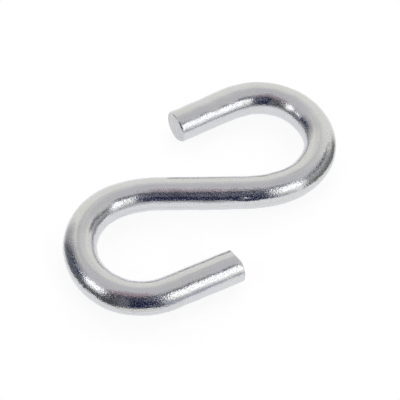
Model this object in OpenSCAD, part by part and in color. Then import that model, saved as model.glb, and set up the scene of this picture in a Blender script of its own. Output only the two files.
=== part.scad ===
// S hook bent from one length of round plated steel wire, lying flat on a surface.
// The origin is on that surface, under the middle of the outline. +X runs along the load line,
// from the centre of the lower bow to the centre of the upper bow, and +Z is up.
// Lengths are in millimetres, angles in degrees, and each bend turns left along the wire.

/* [Wire] */
// Diameter of the wire
wire_d = 6; // [4:0.5:8]
// Width of the broken edge around each cut end
edge_break = 0.2; // [0.1:0.05:0.4]

/* [Shank] */
// Length of the straight stretch between the two hooks
shank_len = 15.8; // [11:0.2:24]

/* [Bends] */
// Inside radius of the easy bend at each end of the shank
shoulder_inside_r = 15; // [12:0.5:20]
// Turn of the easy bend
shoulder_turn_deg = 25; // [15:0.5:35]
// Inside radius of the bow that takes the load
bow_inside_r = 7.75; // [6:0.25:10]

/* [Upper hook] */
// Turn of the upper bow
upper_turn_deg = 183.5; // [165:0.5:195]
// Straight leg from the upper bow to its cut end
upper_leg_len = 11.5; // [6:0.1:16]
// Angle of the upper cut from square
upper_slant_deg = 4.5; // [0:0.5:10]
// Side of the wire where the upper cut leans back: 0 is inside the hook, 90 is on top
upper_slant_side_deg = 66; // [-180:1:180]

/* [Lower hook] */
// Turn of the lower bow
lower_turn_deg = 180; // [165:0.5:195]
// Straight leg from the lower bow to its cut end
lower_leg_len = 12.6; // [6:0.1:16]
// Angle of the lower cut from square
lower_slant_deg = 6.5; // [0:0.5:10]
// Side of the wire where the lower cut leans back: 0 is inside the hook, 90 is on top
lower_slant_side_deg = -22; // [-180:1:180]

/* [Hidden] */
$fn = 96;
plating = [0.72, 0.73, 0.76];
wire_r = wire_d / 2;
shoulder_r = shoulder_inside_r + wire_r;
bow_r = bow_inside_r + wire_r;
// Each bend is swept this much too far, then cut off square where the next stretch begins
trim_turn_deg = 4;
// Turns are moved by up to this many steps of this size, to where their cosine and sine are exact
turn_steps = 300;
turn_step_deg = 0.0002;
decimals = 1000000;
// Centre of the upper bow, from the middle of the shank and with the shank along X
bow_x = shank_len / 2 + (shoulder_r - bow_r) * sin(shoulder_turn_deg);
bow_y = shoulder_r - (shoulder_r - bow_r) * cos(shoulder_turn_deg);
// Angle from the shank to the load line
lean = atan2(bow_y, bow_x);
// Way from the load line to the middle of the outline
middle_y = (reach(upper_turn_deg, upper_leg_len) - reach(lower_turn_deg, lower_leg_len)) / 2;

// Furthest that a hook reaches sideways from the load line: at its tip, if the leg spreads outwards
function reach(turn, leg_len) =
    let (heading = shoulder_turn_deg + turn - lean)
    heading < 180 ? leg_len * sin(heading) - (bow_r + wire_r) * cos(heading) : bow_r + wire_r;

// Cosine and sine of a turn, as decimals of limited length
function short_pair(turn) = [round(cos(turn) * decimals) / decimals, round(sin(turn) * decimals) / decimals];

// The pair beside this turn that lies closest to the unit circle
function exact_pair(turn) =
    let (pairs = [for (k = [-turn_steps : turn_steps]) short_pair(turn + k * turn_step_deg)])
    let (misses = [for (p = pairs) abs(norm(p) - 1)])
    pairs[search(min(misses), misses)[0]];

// Carries its children from the start of a bend to the end of it, so that both stretches meet exactly
module beyond(radius, turn) {
    pair = exact_pair(turn);
    translate([0, radius, 0])
        multmatrix([[pair[0], -pair[1], 0], [pair[1], pair[0], 0], [0, 0, 1]])
            translate([0, -radius, 0])
                children();
}

// Wire bent from the origin, with its children at the far end
module bend(radius, turn) {
    difference() {
        translate([0, radius, 0])
            rotate([0, 0, -90])
                rotate_extrude(angle = turn + trim_turn_deg)
                    translate([radius, 0])
                        circle(r = wire_r);
        beyond(radius, turn)
            translate([0, -wire_d, -wire_d])
                cube([wire_d, 2 * wire_d, 2 * wire_d]);
    }
    beyond(radius, turn)
        children();
}

// Straight wire from the origin, cut a little out of square and with its sharp rim broken
module cut_leg(leg_len, slant, side) {
    rim_r = wire_r - edge_break;
    stock_len = leg_len + wire_d;
    intersection() {
        rotate([0, 90, 0])
            cylinder(r = wire_r, h = stock_len);
        translate([leg_len, 0, 0])
            rotate([side, 0, 0])
                rotate([0, 90, slant])
                    translate([0, 0, -stock_len])
                        cylinder(r1 = rim_r + stock_len, r2 = rim_r, h = stock_len);
    }
}

// One hook, from the end of the shank to the cut end
module hook(turn, leg_len, slant, side) {
    translate([shank_len / 2, 0, 0])
        bend(shoulder_r, shoulder_turn_deg)
            bend(bow_r, turn)
                cut_leg(leg_len, slant, side);
}

// The whole wire: the shank with a hook at either end, one facing each way
module s_hook() {
    color(plating)
        translate([0, -middle_y, wire_r])
            rotate([0, 0, -lean]) {
                rotate([0, 90, 0])
                    cylinder(r = wire_r, h = shank_len, center = true);
                hook(upper_turn_deg, upper_leg_len, upper_slant_deg, upper_slant_side_deg);
                rotate([0, 0, 180])
                    hook(lower_turn_deg, lower_leg_len, lower_slant_deg, lower_slant_side_deg);
            }
}

s_hook();
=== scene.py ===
"""S hook of bright zinc-plated wire, lying on a white card inside a light tent."""

import math

import bpy
import numpy as np
from mathutils import Matrix, Vector


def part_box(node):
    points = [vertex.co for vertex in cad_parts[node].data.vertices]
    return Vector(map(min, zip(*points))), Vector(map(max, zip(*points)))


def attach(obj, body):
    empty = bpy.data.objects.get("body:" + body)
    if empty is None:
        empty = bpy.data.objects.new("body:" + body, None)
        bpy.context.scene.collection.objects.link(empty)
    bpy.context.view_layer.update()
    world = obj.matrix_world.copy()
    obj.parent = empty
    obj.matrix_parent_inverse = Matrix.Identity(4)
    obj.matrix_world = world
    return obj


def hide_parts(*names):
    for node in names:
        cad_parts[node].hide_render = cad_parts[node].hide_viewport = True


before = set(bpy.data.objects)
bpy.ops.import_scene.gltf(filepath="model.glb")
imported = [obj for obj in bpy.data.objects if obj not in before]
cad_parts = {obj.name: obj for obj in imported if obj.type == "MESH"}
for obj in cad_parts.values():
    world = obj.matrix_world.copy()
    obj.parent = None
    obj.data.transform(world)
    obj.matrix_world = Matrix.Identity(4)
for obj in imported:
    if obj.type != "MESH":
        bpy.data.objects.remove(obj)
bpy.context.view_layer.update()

bl_info = {
    "name": "S hook",
    "version": (1, 0, 0),
    "blender": (4, 5, 0),
    "location": "3D View > Sidebar > S hook",
    "description": "Builds a bent, plated wire hook and the light tent that it lies in",
    "category": "Object",
}

NODE = "s_hook"
MM = 0.001
HOOK_LOW, HOOK_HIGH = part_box(NODE)


def linear(colour):
    """An sRGB hex colour as linear red, green and blue."""
    shares = [int(colour[i:i + 2], 16) / 255 for i in (1, 3, 5)]
    return tuple(c / 12.92 if c <= 0.04045 else ((c + 0.055) / 1.055) ** 2.4 for c in shares)


def length(name, description, millimetres):
    """Settings of a length property, from a size in millimetres."""
    return {"name": name, "description": description, "default": millimetres * MM,
            "min": 0.0, "unit": "LENGTH", "subtype": "DISTANCE", "precision": 5}


def angle(name, description, degrees):
    """Settings of an angle property, from degrees."""
    return {"name": name, "description": description, "default": math.radians(degrees),
            "subtype": "ANGLE"}


def paint(name, description, colour):
    """Settings of a colour property, from an sRGB hex colour."""
    return {"name": name, "description": description, "default": linear(colour), "subtype": "COLOR",
            "size": 3, "min": 0.0, "max": 1.0}


def share(name, description, value):
    """Settings of a property that runs from none to all."""
    return {"name": name, "description": description, "default": value, "min": 0.0, "max": 1.0,
            "subtype": "FACTOR"}


class HookSizes(bpy.types.PropertyGroup):
    """Sizes of the bent wire, those of its solid but for the crisper rims."""

    wire_d: bpy.props.FloatProperty(**length(
        "Wire diameter", "Diameter of the round wire", (HOOK_HIGH.z - HOOK_LOW.z) / MM))
    edge_break: bpy.props.FloatProperty(**length(
        "Edge break", "Width of the broken rim of each cut end", 0.1))
    shank_len: bpy.props.FloatProperty(**length("Shank", "Straight stretch between the two hooks", 15.8))
    shoulder_inside_r: bpy.props.FloatProperty(**length(
        "Shoulder radius", "Inside radius of the easy bends", 15))
    shoulder_turn: bpy.props.FloatProperty(**angle("Shoulder turn", "Turn of each easy bend", 25))
    bow_inside_r: bpy.props.FloatProperty(**length("Bow radius", "Inside radius of the bows", 7.75))
    upper_turn: bpy.props.FloatProperty(**angle("Upper turn", "Turn of the upper bow", 183.5))
    upper_leg: bpy.props.FloatProperty(**length("Upper leg", "Straight leg beyond the upper bow", 11.5))
    upper_slant: bpy.props.FloatProperty(**angle("Upper slant", "Angle of the upper cut from square", 4.5))
    upper_side: bpy.props.FloatProperty(**angle("Upper slant side", "Where the upper cut leans back", 66))
    lower_turn: bpy.props.FloatProperty(**angle("Lower turn", "Turn of the lower bow", 180))
    lower_leg: bpy.props.FloatProperty(**length("Lower leg", "Straight leg beyond the lower bow", 12.6))
    lower_slant: bpy.props.FloatProperty(**angle("Lower slant", "Angle of the lower cut from square", 6.5))
    lower_side: bpy.props.FloatProperty(**angle("Lower slant side", "Where the lower cut leans back", -22))


class HookFinish(bpy.types.PropertyGroup):
    """Colours, gloss and grain of the plating."""

    zinc: bpy.props.FloatVectorProperty(**paint("Zinc", "Bright zinc plating", "#D5D7DC"))
    film: bpy.props.FloatVectorProperty(**paint("Film", "Plating under its thin passive film", "#D5D6D7"))
    cut: bpy.props.FloatVectorProperty(**paint("Cut", "Thin plating on the cut ends", "#C2C3C6"))
    pit: bpy.props.FloatVectorProperty(**paint("Pits", "Dirt in the smallest pits", "#8C8984"))
    smooth: bpy.props.FloatProperty(**share("Smooth", "Roughness of the plating between its grains", 0.1))
    grainy: bpy.props.FloatProperty(**share("Grainy", "Roughness of the plating's grains", 0.38))
    grain: bpy.props.FloatProperty(**length("Grain", "Spacing of the plating's fine grains", 0.21))
    grain_rise: bpy.props.FloatProperty(**length(
        "Grain rise", "Height of the plating's fine grains", 0.0145))


class Studio(bpy.types.PropertyGroup):
    """Camera, card and light tent."""

    view_azimuth: bpy.props.FloatProperty(**angle(
        "View azimuth", "Side from which the hook is seen", -140.3355))
    view_elevation: bpy.props.FloatProperty(**angle("View elevation", "Height of the camera", 52.5597))
    view_roll: bpy.props.FloatProperty(**angle(
        "View roll", "Turn of the camera about its own axis", -2.4894))
    view_distance: bpy.props.FloatProperty(**length(
        "View distance", "From the camera to the hook", 280.043))
    lens: bpy.props.FloatProperty(
        name="Lens", description="Focal length of the camera", default=141.729, unit="CAMERA")
    tent_radius: bpy.props.FloatProperty(**length("Tent radius", "Radius of the light tent", 1000))
    card: bpy.props.FloatVectorProperty(**paint("Card", "White card under the hook", "#A0A0A0"))
    card_lift: bpy.props.FloatProperty(**share(
        "Card lift", "Light added to the card where it is seen, so that it shows white", 0.8))


def add(tree, kind, inputs=None, **settings):
    """Adds a node, sets it up, and fills its inputs with values or links."""
    made = tree.nodes.new(kind)
    for name, value in settings.items():
        setattr(made, name, value)
    for socket, value in (inputs or {}).items():
        if isinstance(value, bpy.types.NodeSocket):
            tree.links.new(value, made.inputs[socket])
        else:
            made.inputs[socket].default_value = value
    return made


def new_material(name):
    """An empty node material."""
    made = bpy.data.materials.new(name)
    made.use_nodes = True
    made.node_tree.nodes.clear()
    return made


def link_object(name, mesh):
    """Puts a mesh into the scene."""
    made = bpy.data.objects.new(name, mesh)
    bpy.context.scene.collection.objects.link(made)
    return made


# Sockets of a node that mixes two colours.
MIX_SHARE, MIX_A, MIX_B, MIX_OUT = 0, 6, 7, 2

# Where the bent wire stands proud or shy of a true bend: distance from the lower tip, side (1 is left,
# -1 right), amount and spread. Lengths are in millimetres.
BEND_MARKS = (
    (18.0, -1, -0.10, 3.5), (22.3, 1, 0.11, 2.2), (30.2, 1, -0.10, 3.0), (44.6, 1, 0.14, 5.0),
    (62.0, 1, -0.09, 9.0), (63.5, -1, 0.10, 4.5), (71.6, -1, -0.08, 3.0), (80.5, -1, -0.09, 3.0),
    (89.1, 1, -0.15, 2.8), (89.0, -1, 0.07, 4.0), (96.4, 1, 0.15, 2.8), (110.4, 1, 0.20, 3.6),
    (113.2, -1, 0.08, 3.0),
)
# Nicks: distance from the lower tip, degrees around the wire (0 is left, 90 on top), depth, length and
# width. Lengths are in millimetres.
NICKS = (
    (116.6, 114.0, 0.05, 0.25, 0.2), (87.4, 126.0, 0.04, 0.3, 0.2), (69.7, 150.0, 0.1, 1.1, 0.3),
    (66.3, 180.0, 0.05, 0.2, 0.35),
)
# How far the shear left each rim ahead of a flat cut, in millimetres, by degrees around the wire.
UPPER_RIM = (
    (-90, 0.0), (-60, -0.1), (-38, -0.3), (-20, -0.2), (0, 0.05), (20, 0.3), (43, 0.5), (75, 0.5),
    (105, 0.5), (130, 0.2), (160, 0.0),
)
LOWER_RIM = (
    (-30, 0.0), (35, 0.1), (65, 0.12), (80, 0.0), (102, -0.15), (122, 0.0), (140, 0.2), (170, 0.0),
)
# A lip fades towards the middle of its cut with this power of the radius.
LIP_FADE = 3
# Rolled edges of the cuts: 1 at the upper tip and -1 at the lower, then the middle and the half width in
# degrees around the wire, then depth, length and how far past the leg they are deepest, in millimetres.
ROLLED_EDGES = ((1, 45.0, 24.0, 0.17, 0.9, 0.5), (-1, 60.0, 50.0, 0.05, 0.5, 0.1))
# Faint waves that bending leaves in the skin, and how far their middle lies under the true wire.
WAVE_SEED, WAVE_COUNT, WAVE_DEPTH_MM = 11, 14, 0.006
WAVE_SINK_MM = 0.02
WAVE_PERIODS_MM = (3.0, 9.0)
WAVE_LOBES = 4
# Points of the skin: around the wire, and how far apart along it.
RING = 144
STATION_MM = 0.27
# Rows that lead up to a cut, as shares of the last stretch of the leg, and rows of its face, as shares of
# the radius inside the broken rim.
END_ZONE_MM = 1.6
END_STEPS = (0.2, 0.4, 0.58, 0.73, 0.85, 0.94, 1.0)
FACE_STEPS = (0.97, 0.88, 0.72, 0.5, 0.25)
# Share of the broken rim at which its extra row lies, so that the rim is round.
RIM_ROW = 0.3
# How far a bend's pull on the skin fades out along the wire.
BEND_EASE_MM = 2.0


def half_line(sizes, turn, leg):
    """Centreline from the middle of the shank to a tip: places, headings, and bends as shares of a bow's.

    A bend's share is zero on a straight stretch.
    """
    r = sizes.wire_d / 2
    bow_r = sizes.bow_inside_r + r
    places, headings, bends = [np.zeros(2)], [0.0], [0.0]
    for bend_r, amount in ((0, sizes.shank_len / 2), (sizes.shoulder_inside_r + r, sizes.shoulder_turn),
                           (bow_r, turn), (0, leg)):
        run = amount * bend_r if bend_r else amount
        count = math.ceil(run / (STATION_MM * MM))
        start, heading = places[-1], headings[-1]
        for done in np.linspace(0, run, count + 1)[1:]:
            if bend_r:
                now = heading + done / bend_r
                step = bend_r * np.array([
                    math.sin(now) - math.sin(heading), math.cos(heading) - math.cos(now)])
            else:
                now = heading
                step = done * np.array([math.cos(now), math.sin(now)])
            places.append(start + step)
            headings.append(now)
            bends.append(bow_r / bend_r if bend_r else 0.0)
    return np.array(places), np.array(headings), np.array(bends)


def load_line(sizes):
    """Angle from the shank to the line through the centres of both bows."""
    ease = sizes.shoulder_inside_r - sizes.bow_inside_r
    x = sizes.shank_len / 2 + ease * math.sin(sizes.shoulder_turn)
    y = sizes.shoulder_inside_r + sizes.wire_d / 2 - ease * math.cos(sizes.shoulder_turn)
    return math.atan2(y, x)


def shank_middle(sizes):
    """Middle of the shank in the part's frame, whose origin is under the middle of the outline."""
    lean = load_line(sizes)

    def reach(turn, leg):
        heading = sizes.shoulder_turn + turn - lean
        return leg * math.sin(heading) - (sizes.bow_inside_r + sizes.wire_d) * math.cos(heading)

    aside = reach(sizes.lower_turn, sizes.lower_leg) - reach(sizes.upper_turn, sizes.upper_leg)
    return Vector((0, aside / 2, sizes.wire_d / 2))


def whole_line(sizes):
    """Centreline from the lower tip to the upper tip in the part's frame, a little longer at both ends."""
    upper = half_line(sizes, sizes.upper_turn, sizes.upper_leg)
    lower = half_line(sizes, sizes.lower_turn, sizes.lower_leg)
    lean = load_line(sizes)
    places = np.vstack([-lower[0][:0:-1], upper[0]])
    headings = np.concatenate([lower[1][:0:-1], upper[1]]) - lean
    bends = np.concatenate([-lower[2][:0:-1], upper[2]])
    turn = np.array([[math.cos(lean), math.sin(lean)], [-math.sin(lean), math.cos(lean)]])
    places = places @ turn.T + np.array(shank_middle(sizes)[:2])
    steps = np.linalg.norm(np.diff(places, axis=0), axis=1)
    along = np.concatenate([[0], np.cumsum(steps)])
    spare = END_ZONE_MM * MM
    ahead = np.column_stack([np.cos(headings), np.sin(headings)])
    places = np.vstack([places[0] - spare * ahead[0], places, places[-1] + spare * ahead[-1]])
    along = np.concatenate([[-spare], along, [along[-1] + spare]])
    return along, places, np.pad(headings, 1, mode="edge"), np.pad(bends, 1, mode="edge")


def end_rows(sizes, around, slant, side, rim):
    """Rows of a cut end: the way past the leg's end for each angle, and the share of the radius."""
    r = sizes.wire_d / 2
    lip = MM * np.interp(np.degrees(around), *np.transpose(rim), period=360)
    flat = -math.tan(slant) * r * np.cos(around - side)
    cut = flat + lip
    edge = sizes.edge_break / r
    rows = [((step - 1) * END_ZONE_MM * MM + step * (cut - sizes.edge_break), 1.0) for step in END_STEPS]
    rows.append((flat * (1 - RIM_ROW * edge) + lip - RIM_ROW * sizes.edge_break, 1 - RIM_ROW * edge))
    rows.append((flat * (1 - edge) + lip, 1 - edge))
    return rows + [(flat * (1 - edge) * step + lip * step ** LIP_FADE, (1 - edge) * step)
                   for step in FACE_STEPS]


def skin_radius(sizes, along, around, whole):
    """Radius of the wire for each distance and angle, with bend marks, nicks, rolled edges and waves."""
    r = sizes.wire_d / 2
    s = along / MM
    radius = np.full(along.shape, r - WAVE_SINK_MM * MM)
    for place, side, amount, spread in BEND_MARKS:
        facing = np.clip(side * np.cos(around), 0, 1) ** 2
        radius += amount * MM * np.exp(-((s - place) / spread) ** 2) * facing
    for place, degrees, depth, long, wide in NICKS:
        off = np.angle(np.exp(1j * (around - math.radians(degrees)))) * r / MM
        radius -= depth * MM * np.exp(-((s - place) / long) ** 2 - (off / wide) ** 2)
    for tip, degrees, half_width, depth, long, past in ROLLED_EDGES:
        left = (whole - along if tip > 0 else along) / MM + past
        off = np.degrees(np.abs(np.angle(np.exp(1j * (around - math.radians(degrees))))))
        near = np.clip(1 - left / long, 0, 1) ** 2
        radius -= depth * MM * near * np.clip(1 - (off / half_width) ** 2, 0, 1)
    chance = np.random.default_rng(WAVE_SEED)
    for _ in range(WAVE_COUNT):
        period = chance.uniform(*WAVE_PERIODS_MM)
        lobes = chance.integers(0, WAVE_LOBES)
        turn = chance.uniform(0, 2 * math.pi, 2)
        wave = np.cos(2 * math.pi * s / period + turn[0]) * np.cos(lobes * around + turn[1])
        radius += WAVE_DEPTH_MM * MM * wave
    return radius


def wire_skin(sizes):
    """Skin of the bent wire: vertices, their places on the straight wire, and the pull of bending there."""
    line_along, line_places, line_headings, line_bends = whole_line(sizes)
    whole = line_along[-2]
    around = np.linspace(0, 2 * math.pi, RING, endpoint=False)
    low = end_rows(sizes, around, sizes.lower_slant, math.pi - sizes.lower_side, LOWER_RIM)
    high = end_rows(sizes, around, sizes.upper_slant, sizes.upper_side, UPPER_RIM)
    zone = END_ZONE_MM * MM
    rows = [(-past, part) for past, part in reversed(low)]
    rows += [(np.full(RING, s), 1.0) for s in line_along if zone <= s <= whole - zone]
    rows += [(whole + past, part) for past, part in high]
    along = np.array([row[0] for row in rows])
    parts = np.array([row[1] for row in rows])[:, None]
    turned = np.broadcast_to(around, along.shape)
    radius = skin_radius(sizes, along, turned, whole) * parts
    heading = np.interp(along, line_along, line_headings)
    across, up = radius * np.cos(turned), radius * np.sin(turned)
    x = np.interp(along, line_along, line_places[:, 0]) - np.sin(heading) * across
    y = np.interp(along, line_along, line_places[:, 1]) + np.cos(heading) * across
    z = sizes.wire_d / 2 + up
    ease = np.exp(-((line_along[:, None] - line_along[None, :]) / (BEND_EASE_MM * MM)) ** 2)
    bends = (ease @ line_bends) / ease.sum(axis=1)
    pulled = np.clip(-np.interp(along, line_along, bends) * np.cos(turned), 0, 1)
    vertices = np.stack([x, y, z], axis=-1)
    straight = np.stack([along, across, up], axis=-1)
    return vertices, straight, pulled


def wire_mesh(sizes):
    """Mesh of the bent wire, closed at both cut ends, with what its materials need to know."""
    vertices, straight, pulled = wire_skin(sizes)
    count = len(vertices)
    ring = np.arange(RING)
    following = (ring + 1) % RING
    rows = np.arange(count - 1)[:, None] * RING
    quads = np.stack([rows + ring, rows + RING + ring, rows + RING + following, rows + following],
                     axis=-1)
    low_tip, high_tip = count * RING, count * RING + 1
    faces = quads.reshape(-1, 4).tolist()
    faces += [(low_tip, int(a), int(b)) for a, b in zip(ring, following)]
    last = (count - 1) * RING
    faces += [(high_tip, int(last + b), int(last + a)) for a, b in zip(ring, following)]
    face_rows = len(FACE_STEPS)
    flat = np.zeros(count - 1, int)
    flat[:face_rows] = flat[-face_rows:] = 1
    slots = np.concatenate([np.repeat(flat, RING), np.ones(2 * RING, int)])

    def with_tips(values):
        return np.concatenate([values.reshape(count * RING, -1), values[0].mean(axis=0).reshape(1, -1),
                               values[-1].mean(axis=0).reshape(1, -1)])

    mesh = bpy.data.meshes.new("hook_wire")
    inside = np.clip(with_tips(vertices), np.array(HOOK_LOW), np.array(HOOK_HIGH))
    mesh.from_pydata(inside.tolist(), [], faces)
    mesh.polygons.foreach_set("material_index", slots.tolist())
    mesh.polygons.foreach_set("use_smooth", [True] * len(faces))
    place = mesh.attributes.new("straight_wire", "FLOAT_VECTOR", "POINT")
    place.data.foreach_set("vector", with_tips(straight).astype(np.float32).ravel())
    pull = mesh.attributes.new("bend_pull", "FLOAT", "POINT")
    pull.data.foreach_set("value", with_tips(pulled[..., None]).astype(np.float32).ravel())
    rims = (face_rows, count - 1 - face_rows)
    wanted = {frozenset((k * RING + int(a), k * RING + int(b)))
              for k in rims for a, b in zip(ring, following)}
    mesh.edges.foreach_set("use_edge_sharp", [frozenset(e.vertices) in wanted for e in mesh.edges])
    if mesh.validate():
        raise RuntimeError("the wire's skin has bad faces")
    return mesh


# Real sizes of the patterns in the plating, in millimetres. The grain of the plated wire is finer than a
# twentieth of a millimetre; it is drawn four or five times as coarse, so that it shows.
DULL_MM, MOTTLE_MM, CLOUD_MM, PIT_MM = 0.19, 0.9, 3.5, 0.4
DIE_LINE_MM, DIE_LINE_LENGTH_MM = 0.35, 14.0
MOTTLE_RISE_MM, DIE_LINE_RISE_MM = 0.009, 0.018
# Where in its pattern's run from 0 to 1 each of these sets in and is complete: the film's tint, dirty pits,
# dirty streaks along the die's lines, and dull grains.
FILM_FROM, FILM_TO = 0.35, 0.65
PIT_FROM, PIT_TO = 0.75, 0.83
STREAK_FROM, STREAK_TO = 0.55, 0.75
DULL_FROM, DULL_TO = 0.58, 0.62
# Most dirt in a streak, and how much higher the grain stands where the skin was pulled most.
STREAK_DIRT = 0.2
PULLED_GRAIN = 0.9


def zinc_plated_wire(finish):
    """Drawn steel wire, bright zinc plated.

    The plating is a blue-white mirror. Its fine grain breaks each reflection into specks, most of all on
    the outside of the bends, where the skin was pulled. The drawing die left faint lines along the wire.
    """
    made = new_material("Bright zinc-plated drawn wire")
    tree = made.node_tree
    place = add(tree, "ShaderNodeAttribute", attribute_name="straight_wire")
    pull = add(tree, "ShaderNodeAttribute", attribute_name="bend_pull")
    in_mm = add(tree, "ShaderNodeVectorMath", {0: place.outputs["Vector"], "Scale": 1 / MM},
                operation="SCALE").outputs[0]
    grain = add(tree, "ShaderNodeTexNoise", {"Vector": in_mm, "Scale": MM / finish.grain, "Detail": 0.0})
    dulled = add(tree, "ShaderNodeTexNoise", {"Vector": in_mm, "Scale": 1 / DULL_MM, "Detail": 0.0})
    mottle = add(tree, "ShaderNodeTexNoise", {"Vector": in_mm, "Scale": 1 / MOTTLE_MM, "Detail": 1.0})
    clouds = add(tree, "ShaderNodeTexNoise", {"Vector": in_mm, "Scale": 1 / CLOUD_MM, "Detail": 2.0})
    pits = add(tree, "ShaderNodeTexNoise", {"Vector": in_mm, "Scale": 1 / PIT_MM, "Detail": 1.0})
    drawn_out = add(tree, "ShaderNodeVectorMath", {0: in_mm, 1: (
        1 / DIE_LINE_LENGTH_MM, 1 / DIE_LINE_MM, 1 / DIE_LINE_MM)}, operation="MULTIPLY").outputs[0]
    die_lines = add(tree, "ShaderNodeTexNoise", {"Vector": drawn_out, "Scale": 1.0, "Detail": 2.0})
    tint = add(tree, "ShaderNodeMapRange", {
        "Value": clouds.outputs["Fac"], "From Min": FILM_FROM, "From Max": FILM_TO})
    base = add(tree, "ShaderNodeMix", {MIX_SHARE: tint.outputs["Result"], MIX_A: (*finish.zinc, 1),
                                       MIX_B: (*finish.film, 1)}, data_type="RGBA")
    pitted = add(tree, "ShaderNodeMapRange", {
        "Value": pits.outputs["Fac"], "From Min": PIT_FROM, "From Max": PIT_TO})
    streaks = add(tree, "ShaderNodeMapRange", {
        "Value": die_lines.outputs["Fac"], "From Min": STREAK_FROM, "From Max": STREAK_TO,
        "To Max": STREAK_DIRT})
    dirt = add(tree, "ShaderNodeMath", {0: pitted.outputs["Result"], 1: streaks.outputs["Result"]},
               operation="MAXIMUM")
    colour = add(tree, "ShaderNodeMix", {MIX_SHARE: dirt.outputs[0], MIX_A: base.outputs[MIX_OUT],
                                         MIX_B: (*finish.pit, 1)}, data_type="RGBA")
    rough = add(tree, "ShaderNodeMapRange", {
        "Value": dulled.outputs["Fac"], "From Min": DULL_FROM, "From Max": DULL_TO,
        "To Min": finish.smooth, "To Max": finish.grainy})
    rise = add(tree, "ShaderNodeMath", {0: pull.outputs["Fac"], 1: PULLED_GRAIN, 2: 1.0},
               operation="MULTIPLY_ADD")
    height = add(tree, "ShaderNodeMath", {0: grain.outputs["Fac"], 1: rise.outputs[0]},
                 operation="MULTIPLY")
    lines = add(tree, "ShaderNodeBump", {
        "Height": die_lines.outputs["Fac"], "Distance": DIE_LINE_RISE_MM * MM})
    dents = add(tree, "ShaderNodeBump", {
        "Height": mottle.outputs["Fac"], "Distance": MOTTLE_RISE_MM * MM,
        "Normal": lines.outputs["Normal"]})
    bumps = add(tree, "ShaderNodeBump", {"Height": height.outputs[0], "Distance": finish.grain_rise,
                                         "Normal": dents.outputs["Normal"]})
    shader = add(tree, "ShaderNodeBsdfPrincipled", {
        "Base Color": colour.outputs[MIX_OUT], "Metallic": 1.0, "Roughness": rough.outputs["Result"],
        "Normal": bumps.outputs["Normal"]})
    add(tree, "ShaderNodeOutputMaterial", {"Surface": shader.outputs["BSDF"]})
    return made


# Sizes of the patterns on a cut end, in millimetres: the shear's lines and the torn patches.
SHEAR_LINE_MM, SHEAR_LINE_LENGTH_MM, SHEAR_LINE_RISE_MM = 0.3, 2.0, 0.02
TORN_MM, TORN_RISE_MM = 0.5, 0.03
# Where in its pattern a torn patch sets in and is complete, and the roughness between which it varies.
TORN_FROM, TORN_TO = 0.4, 0.62
CUT_SMOOTH, CUT_ROUGH = 0.25, 0.45


def zinc_plated_cut(finish):
    """Sheared end of the same wire, plated over.

    It is flat and duller than the skin, with the shear's faint lines across a torn face.
    """
    made = new_material("Zinc-plated sheared end")
    tree = made.node_tree
    place = add(tree, "ShaderNodeAttribute", attribute_name="straight_wire")
    in_mm = add(tree, "ShaderNodeVectorMath", {0: place.outputs["Vector"], "Scale": 1 / MM},
                operation="SCALE").outputs[0]
    across = add(tree, "ShaderNodeVectorMath", {
        0: in_mm, 1: (0.0, 1 / SHEAR_LINE_LENGTH_MM, 1 / SHEAR_LINE_MM)}, operation="MULTIPLY").outputs[0]
    lines = add(tree, "ShaderNodeTexNoise", {"Vector": across, "Scale": 1.0, "Detail": 2.0})
    torn = add(tree, "ShaderNodeTexNoise", {"Vector": in_mm, "Scale": 1 / TORN_MM, "Detail": 3.0})
    ridges = add(tree, "ShaderNodeBump", {
        "Height": lines.outputs["Fac"], "Distance": SHEAR_LINE_RISE_MM * MM})
    bumps = add(tree, "ShaderNodeBump", {
        "Height": torn.outputs["Fac"], "Distance": TORN_RISE_MM * MM, "Normal": ridges.outputs["Normal"]})
    patches = add(tree, "ShaderNodeMapRange", {
        "Value": torn.outputs["Fac"], "From Min": TORN_FROM, "From Max": TORN_TO})
    tint = add(tree, "ShaderNodeMix", {MIX_SHARE: patches.outputs["Result"], MIX_A: (*finish.cut, 1),
                                       MIX_B: (*finish.film, 1)}, data_type="RGBA")
    rough = add(tree, "ShaderNodeMapRange", {
        "Value": torn.outputs["Fac"], "To Min": CUT_SMOOTH, "To Max": CUT_ROUGH})
    shader = add(tree, "ShaderNodeBsdfPrincipled", {
        "Base Color": tint.outputs[MIX_OUT], "Metallic": 1.0, "Roughness": rough.outputs["Result"],
        "Normal": bumps.outputs["Normal"]})
    add(tree, "ShaderNodeOutputMaterial", {"Surface": shader.outputs["BSDF"]})
    return made


class SHOOK_OT_wire(bpy.types.Operator):
    """Builds the bent wire with its cut ends in place of the plain solid"""

    bl_idname = "s_hook.wire"
    bl_label = "Bent wire"

    def execute(self, context):
        mesh = wire_mesh(context.scene.s_hook_sizes)
        mesh.materials.append(zinc_plated_wire(context.scene.s_hook_finish))
        mesh.materials.append(zinc_plated_cut(context.scene.s_hook_finish))
        wire = link_object("hook_wire", mesh)
        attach(wire, "root")
        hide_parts(NODE)
        return {"FINISHED"}


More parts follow.
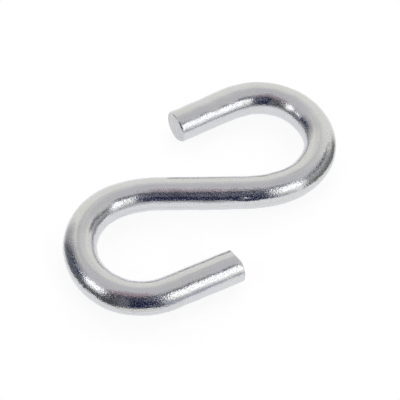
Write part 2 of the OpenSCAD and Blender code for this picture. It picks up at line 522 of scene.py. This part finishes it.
# The light tent as the hook sees it. Each panel has its azimuth from the camera's side, its elevation, half
# its width and height and the softness of its edge in degrees, then its colour and brightness. A later
# panel lies over those before it.
TENT_PANELS = (
    ("dim right side", 90, 15, 27, 31, 9, "#A3A3A6", 1.0),
    ("dark strip on the right side", 100, 30, 24, 4.5, 3.5, "#5E6066", 1.0),
    ("light strip on the right side", 98, 19.5, 22, 3.5, 3, "#C4C4C8", 1.0),
    ("dark foot of the right side", 95, -16, 35, 17, 7, "#7C7C76", 1.0),
    ("floor strip before the right lamp", 40, -10, 12, 14, 6, "#B0B4BE", 1.0),
    ("floor strip under the right lamp", 57, 0, 8, 14, 4, "#FFFFFF", 1.0),
    ("dim left side", -107, 11, 26, 41, 10, "#B9B6B8", 1.0),
    ("dark middle of the left side", -95, 15, 19, 20, 9, "#39445F", 1.0),
    ("dark foot of the left side", -71, -6, 49, 18, 7, "#62646B", 1.0),
    ("grey canopy over the right lamp", 42, 57, 26, 10, 6, "#86868E", 1.0),
    ("warm canopy over the camera", -21, 66, 40, 20, 8, "#A8969B", 1.0),
    ("dark edge of the canopy", 4, 50, 22, 14, 7, "#5C5D6A", 1.0),
    ("dim front beside the left lamp", -33, 17, 15, 40, 9, "#504F57", 1.0),
    ("dark gap beside the right lamp", 25, 16, 7, 36, 7, "#565A6E", 1.0),
    ("dim front beside the right lamp", 7, 10, 16, 27, 8, "#242A4C", 1.0),
    ("open front with the camera", -8, 21, 11, 39, 10, "#161E42", 1.0),
    ("left lamp", -68, 36.5, 15, 12.5, 3, "#FFFFFF", 1.6),
    ("right lamp", 51.5, 32.5, 14.5, 16, 2.5, "#FFFFFF", 1.6),
)
# The fabric throws back little light. Its glow turns from the wall's colour to the top's between these
# two elevations in degrees.
TENT_CLOTH = "#101010"
TENT_WALL = "#FAF8F1"
TENT_TOP = "#D6D4D6"
WALL_ENDS, TOP_STARTS = 32, 66
TENT_STEPS_UP, TENT_STEPS_ROUND = 48, 96


def tent_fabric():
    """White tent fabric lit from outside, with two lamps behind it and an open front."""
    made = new_material("Lit tent fabric")
    tree = made.node_tree
    place = add(tree, "ShaderNodeTexCoord")
    axes = add(tree, "ShaderNodeSeparateXYZ", {0: place.outputs["Object"]})
    azimuth = add(tree, "ShaderNodeMath", {0: axes.outputs["Y"], 1: axes.outputs["X"]},
                  operation="ARCTAN2")
    elevation = add(tree, "ShaderNodeMath", {0: axes.outputs["Z"]}, operation="ARCSINE")
    rise = add(tree, "ShaderNodeMapRange", {
        "Value": elevation.outputs[0], "From Min": math.radians(WALL_ENDS),
        "From Max": math.radians(TOP_STARTS)}, interpolation_type="SMOOTHSTEP")
    glow = add(tree, "ShaderNodeMix", {MIX_SHARE: rise.outputs["Result"], MIX_A: (*linear(TENT_WALL), 1),
                                       MIX_B: (*linear(TENT_TOP), 1)}, data_type="RGBA")
    for label, side, height, half_w, half_h, edge, colour, bright in TENT_PANELS:
        masks = []
        for direction, middle, half in ((azimuth, side, half_w), (elevation, height, half_h)):
            off = add(tree, "ShaderNodeMath", {0: direction.outputs[0], 1: math.radians(middle)},
                      operation="SUBTRACT")
            far = add(tree, "ShaderNodeMath", {0: off.outputs[0]}, operation="ABSOLUTE")
            masks.append(add(tree, "ShaderNodeMapRange", {
                "Value": far.outputs[0], "From Min": math.radians(half - edge),
                "From Max": math.radians(half + edge), "To Min": 1.0, "To Max": 0.0},
                interpolation_type="SMOOTHSTEP").outputs["Result"])
        both = add(tree, "ShaderNodeMath", {0: masks[0], 1: masks[1]}, operation="MULTIPLY")
        shown = [c * bright for c in linear(colour)]
        glow = add(tree, "ShaderNodeMix", {MIX_SHARE: both.outputs[0], MIX_A: glow.outputs[MIX_OUT],
                                           MIX_B: (*shown, 1)}, data_type="RGBA", label=label)
    shader = add(tree, "ShaderNodeBsdfPrincipled", {
        "Base Color": (*linear(TENT_CLOTH), 1), "Roughness": 1.0, "Specular IOR Level": 0.0,
        "Emission Color": glow.outputs[MIX_OUT], "Emission Strength": 1.0})
    add(tree, "ShaderNodeOutputMaterial", {"Surface": shader.outputs["BSDF"]})
    return made


# Typical for matt card.
CARD_ROUGHNESS, CARD_SPECULAR = 0.9, 0.1


def white_card(studio):
    """Matt white card.

    It is lifted to white for the eye and for the metal, and darkens in the hook's shadow.
    """
    made = new_material("Matt white card")
    tree = made.node_tree
    path = add(tree, "ShaderNodeLightPath")
    seen = add(tree, "ShaderNodeMath", {
        0: path.outputs["Is Camera Ray"], 1: path.outputs["Is Glossy Ray"]}, operation="MAXIMUM")
    seen = add(tree, "ShaderNodeMath", {0: seen.outputs[0], 1: path.outputs["Is Transmission Ray"]},
               operation="MAXIMUM")
    lift = add(tree, "ShaderNodeMath", {0: seen.outputs[0], 1: studio.card_lift}, operation="MULTIPLY")
    shader = add(tree, "ShaderNodeBsdfPrincipled", {
        "Base Color": (*studio.card, 1), "Roughness": CARD_ROUGHNESS, "Specular IOR Level": CARD_SPECULAR,
        "Emission Color": (1, 1, 1, 1), "Emission Strength": lift.outputs[0]})
    add(tree, "ShaderNodeOutputMaterial", {"Surface": shader.outputs["BSDF"]})
    return made


def tent_ball(radius):
    """A ball around the hook, whose inside is the light tent."""
    ring = TENT_STEPS_ROUND
    up = np.linspace(-math.pi / 2, math.pi / 2, TENT_STEPS_UP + 1)[1:-1, None]
    turn = np.linspace(0, 2 * math.pi, ring, endpoint=False)[None, :]
    points = radius * np.stack([np.cos(up) * np.cos(turn), np.cos(up) * np.sin(turn),
                                np.sin(up) * np.ones_like(turn)], axis=-1).reshape(-1, 3)
    rows = len(up)
    low, high = rows * ring, rows * ring + 1
    faces = []
    for j in range(ring):
        n = (j + 1) % ring
        faces += [(k * ring + j, (k + 1) * ring + j, (k + 1) * ring + n, k * ring + n)
                  for k in range(rows - 1)]
        faces += [(low, j, n), (high, (rows - 1) * ring + n, (rows - 1) * ring + j)]
    mesh = bpy.data.meshes.new("light_tent")
    mesh.from_pydata(np.vstack([points, [(0, 0, -radius), (0, 0, radius)]]).tolist(), [], faces)
    return mesh


# The picture's width in pixels, and where in it the middle of the hook falls.
FRAME_PX = 400
HOOK_PX = (202.865, 193.111)
SENSOR_MM = 36.0
# Nearest distance that the camera sees.
NEAR_CLIP_MM = 10
# Edges of the white card, towards the camera and to its right.
CARD_BACK_MM, CARD_FRONT_MM = -60, 30
CARD_LEFT_MM, CARD_RIGHT_MM = -30, 29


def camera_axes(studio):
    """Right, up and back of the camera, and the way from the hook to it.

    The camera is aimed so that the hook falls where it does in the picture.
    """
    flat = math.cos(studio.view_elevation)
    back = Vector((math.cos(studio.view_azimuth) * flat, math.sin(studio.view_azimuth) * flat,
                   math.sin(studio.view_elevation)))
    level = (-back).cross(Vector((0, 0, 1))).normalized()
    dip = (-back).cross(level)
    c, s = math.cos(studio.view_roll), math.sin(studio.view_roll)
    right, down = c * level + s * dip, c * dip - s * level
    focal_px = studio.lens / SENSOR_MM * FRAME_PX
    aside, below = ((FRAME_PX / 2 - px) / focal_px for px in HOOK_PX)
    look = (-back + right * aside + down * below).normalized()
    right = (right - look * right.dot(look)).normalized()
    return right, right.cross(look), -look, back


class SHOOK_OT_studio(bpy.types.Operator):
    """Sets the camera, the white card and the light tent"""

    bl_idname = "s_hook.studio"
    bl_label = "Studio"

    def execute(self, context):
        scene, studio = context.scene, context.scene.s_hook_studio
        right, up, behind, towards = camera_axes(studio)
        eye = shank_middle(scene.s_hook_sizes) + towards * studio.view_distance
        data = bpy.data.cameras.new("camera")
        data.lens, data.sensor_width, data.clip_start = studio.lens, SENSOR_MM, NEAR_CLIP_MM * MM
        camera = bpy.data.objects.new("camera", data)
        camera.matrix_world = Matrix.Translation(eye) @ Matrix((right, up, behind)).transposed().to_4x4()
        scene.collection.objects.link(camera)
        scene.camera = camera

        sheet = bpy.data.meshes.new("white_card")
        corners = ((CARD_FRONT_MM, CARD_LEFT_MM), (CARD_FRONT_MM, CARD_RIGHT_MM),
                   (CARD_BACK_MM, CARD_RIGHT_MM), (CARD_BACK_MM, CARD_LEFT_MM))
        sheet.from_pydata([(x * MM, y * MM, 0) for x, y in corners], [], [(0, 1, 2, 3)])
        sheet.materials.append(white_card(studio))
        card = link_object("white_card", sheet)
        card.rotation_euler.z = studio.view_azimuth
        tent_mesh = tent_ball(studio.tent_radius)
        tent_mesh.materials.append(tent_fabric())
        tent = link_object("light_tent", tent_mesh)
        tent.rotation_euler.z = studio.view_azimuth
        tent.visible_camera = False

        world = bpy.data.worlds.new("White surroundings")
        world.use_nodes = True
        world.node_tree.nodes.clear()
        white = add(world.node_tree, "ShaderNodeBackground", {"Color": (1, 1, 1, 1), "Strength": 1.0})
        add(world.node_tree, "ShaderNodeOutputWorld", {"Surface": white.outputs[0]})
        scene.world = world
        scene.view_settings.view_transform = "Standard"
        return {"FINISHED"}


class SHOOK_PT_panel(bpy.types.Panel):
    """Lists the settings and the steps that build the hook"""

    bl_label = "S hook"
    bl_idname = "SHOOK_PT_panel"
    bl_space_type = "VIEW_3D"
    bl_region_type = "UI"
    bl_category = "S hook"

    def draw(self, context):
        for group, settings_class in GROUPS.items():
            box = self.layout.box()
            for name in settings_class.__annotations__:
                box.prop(getattr(context.scene, group), name)
        self.layout.operator(SHOOK_OT_wire.bl_idname)
        self.layout.operator(SHOOK_OT_studio.bl_idname)


GROUPS = {"s_hook_sizes": HookSizes, "s_hook_finish": HookFinish, "s_hook_studio": Studio}
CLASSES = (*GROUPS.values(), SHOOK_OT_wire, SHOOK_OT_studio, SHOOK_PT_panel)


def register():
    """Adds the classes, and the settings to every scene."""
    for cls in CLASSES:
        bpy.utils.register_class(cls)
    for name, group in GROUPS.items():
        setattr(bpy.types.Scene, name, bpy.props.PointerProperty(type=group))


def unregister():
    """Takes the settings and the classes away again."""
    for name in GROUPS:
        delattr(bpy.types.Scene, name)
    for cls in reversed(CLASSES):
        bpy.utils.unregister_class(cls)


def main():
    """Builds everything."""
    register()
    bpy.ops.s_hook.wire()
    bpy.ops.s_hook.studio()


if __name__ == "__main__":
    main()
